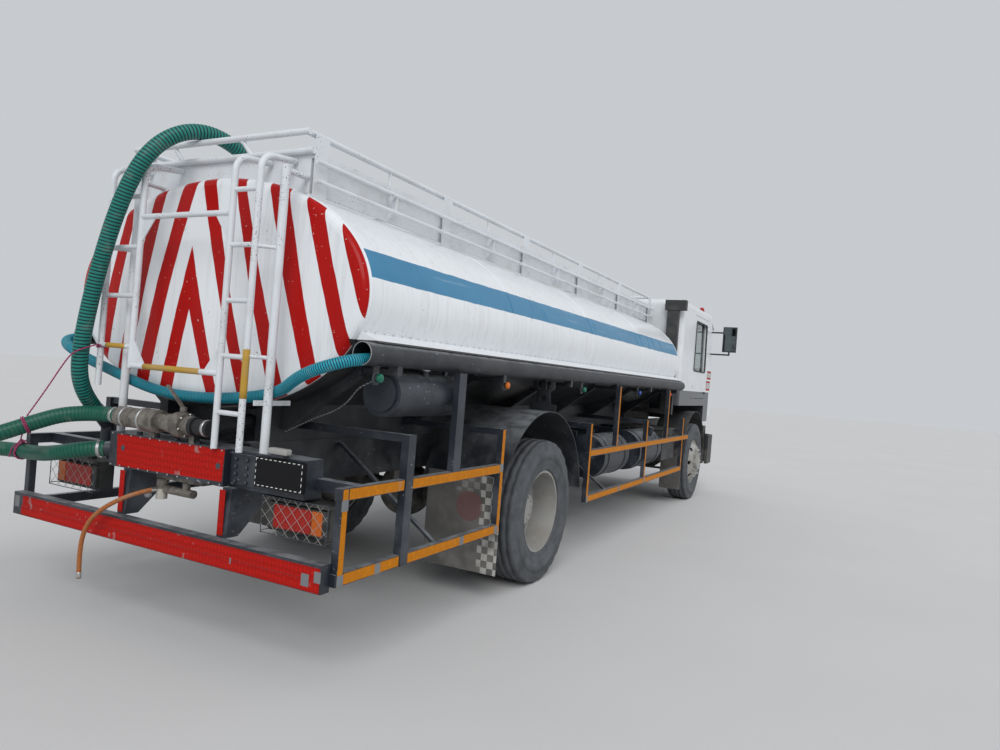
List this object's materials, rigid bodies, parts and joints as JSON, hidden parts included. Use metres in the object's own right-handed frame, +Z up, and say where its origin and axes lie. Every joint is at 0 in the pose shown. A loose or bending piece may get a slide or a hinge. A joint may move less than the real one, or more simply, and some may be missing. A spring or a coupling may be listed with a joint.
{
  "type": "tanker truck",
  "caption": "Two-axle water tanker truck with an elliptical tank, top walkway, rear ladders, side guards, hoses and a tilting forward-control cab.",
  "frame": {"origin": "on the ground, midway between the truck's foremost and rearmost points without its hoses, and midway across it", "axes": "+X towards the cab's front, +Y to the truck's left side, +Z up"},
  "size_m": [9.5985, 3.0141, 2.7838],
  "materials": {
    "tank_paint": "gloss enamel, dusty",
    "cab_paint": "gloss enamel",
    "white_steel": "hand-painted enamel",
    "black_steel": "satin enamel, dusty",
    "black_plastic": "matt grained",
    "glass": "clear, lightly tinted",
    "lamp_lens": "coloured lens",
    "seat_fabric": "woven",
    "rubber": "matt",
    "tyre": "matt, dusty",
    "rim_steel": "satin enamel, dusty",
    "cast_iron": "as cast, oily",
    "green_hose": "ribbed, flexible",
    "teal_hose": "ribbed, flexible",
    "drain_hose": "smooth, flexible"
  },
  "bodies": {
    "chassis": {"air_tanks": "black_steel", "battery_box": "black_plastic", "chassis_frame": "black_steel", "discharge_valve": "cast_iron", "drain_valve": "cast_iron", "engine_block": "cast_iron", "exhaust": "black_steel", "front_axle": "cast_iron", "front_bumper": "black_plastic", "front_mudguards": "black_plastic", "fuel_tank": "black_steel", "headlamps": "lamp_lens", "hose_delivery": "green_hose", "hose_drain": "drain_hose", "hose_return": "teal_hose", "hose_suction": "teal_hose", "hose_tubes": "black_steel", "intake_snorkel": "black_plastic", "marker_lamps": "lamp_lens", "mudflaps": "rubber", "rear_axle": "cast_iron", "rear_crossmember": "black_steel", "rear_ladders": "white_steel", "rear_mudguards": "black_steel", "side_guards_front": "black_steel", "side_guards_rear": "black_steel", "tail_lamps": "lamp_lens", "tank_shell": "tank_paint", "tank_subframe": "black_steel", "underrun_guard": "black_steel", "walkway_coaming": "tank_paint", "wash_water_tank": "black_steel"},
    "cab": {"cab_shell": "cab_paint", "cab_glass": "glass", "cab_grille": "black_plastic", "seats": "seat_fabric", "dashboard": "black_plastic", "mirrors": "black_plastic", "sun_visor": "cab_paint"},
    "door_left": {"door_left": "cab_paint", "door_glass_left": "glass"},
    "door_right": {"door_right": "cab_paint", "door_glass_right": "glass"},
    "knuckle_left": {"knuckle_left": "cast_iron"},
    "knuckle_right": {"knuckle_right": "cast_iron"},
    "tie_rod": {"tie_rod": "black_steel"},
    "front_wheel_left": {"front_tyre_left": "tyre", "front_rim_left": "rim_steel"},
    "front_wheel_right": {"front_tyre_right": "tyre", "front_rim_right": "rim_steel"},
    "rear_wheels_left": {"rear_tyres_left": "tyre", "rear_rims_left": "rim_steel"},
    "rear_wheels_right": {"rear_tyres_right": "tyre", "rear_rims_right": "rim_steel"},
    "lid_rear": {"manhole_lid_rear": "tank_paint"},
    "lid_front": {"manhole_lid_front": "tank_paint"}
  },
  "joints": [
    {"name": "cab_tilt", "type": "hinge", "parent": "chassis", "child": "cab", "pos_m": [4.345, 0, 0.92], "axis": [0, 1, 0], "range_deg": [0, 45]},
    {"name": "door_left_swing", "type": "hinge", "parent": "cab", "child": "door_left", "pos_m": [3.937, 1.112, 1.98], "axis": [0, 0, -1], "range_deg": [0, 70]},
    {"name": "door_right_swing", "type": "hinge", "parent": "cab", "child": "door_right", "pos_m": [3.937, -1.112, 1.98], "axis": [0, 0, 1], "range_deg": [0, 70]},
    {"name": "steer_left", "type": "hinge", "parent": "chassis", "child": "knuckle_left", "pos_m": [3.19, 0.88, 0.525], "axis": [0, 0, 1], "range_deg": [-35, 35]},
    {"name": "steer_right", "type": "hinge", "parent": "chassis", "child": "knuckle_right", "pos_m": [3.19, -0.88, 0.525], "axis": [0, 0, 1], "range_deg": [-35, 35]},
    {"name": "tie_rod_swivel", "type": "hinge", "parent": "knuckle_left", "child": "tie_rod", "pos_m": [3, 0.88, 0.4], "axis": [0, 0, 1], "range_deg": [-35, 35]},
    {"name": "front_wheel_left_spin", "type": "hinge", "parent": "knuckle_left", "child": "front_wheel_left", "pos_m": [3.19, 1.05, 0.525], "axis": [0, 1, 0], "continuous": true},
    {"name": "front_wheel_right_spin", "type": "hinge", "parent": "knuckle_right", "child": "front_wheel_right", "pos_m": [3.19, -1.05, 0.525], "axis": [0, 1, 0], "continuous": true},
    {"name": "rear_wheels_left_spin", "type": "hinge", "parent": "chassis", "child": "rear_wheels_left", "pos_m": [-2.11, 0.935, 0.525], "axis": [0, 1, 0], "continuous": true},
    {"name": "rear_wheels_right_spin", "type": "hinge", "parent": "chassis", "child": "rear_wheels_right", "pos_m": [-2.11, -0.935, 0.525], "axis": [0, 1, 0], "continuous": true},
    {"name": "lid_rear_swing", "type": "hinge", "parent": "chassis", "child": "lid_rear", "pos_m": [-2.34, 0, 2.569], "axis": [0, 1, 0], "range_deg": [0, 100]},
    {"name": "lid_front_swing", "type": "hinge", "parent": "chassis", "child": "lid_front", "pos_m": [1.26, 0, 2.569], "axis": [0, 1, 0], "range_deg": [0, 100]}
  ],
  "couplings": [
    {"joint": "steer_right", "follows": "steer_left", "ratio": 1},
    {"joint": "tie_rod_swivel", "follows": "steer_left", "ratio": -1}
  ]
}
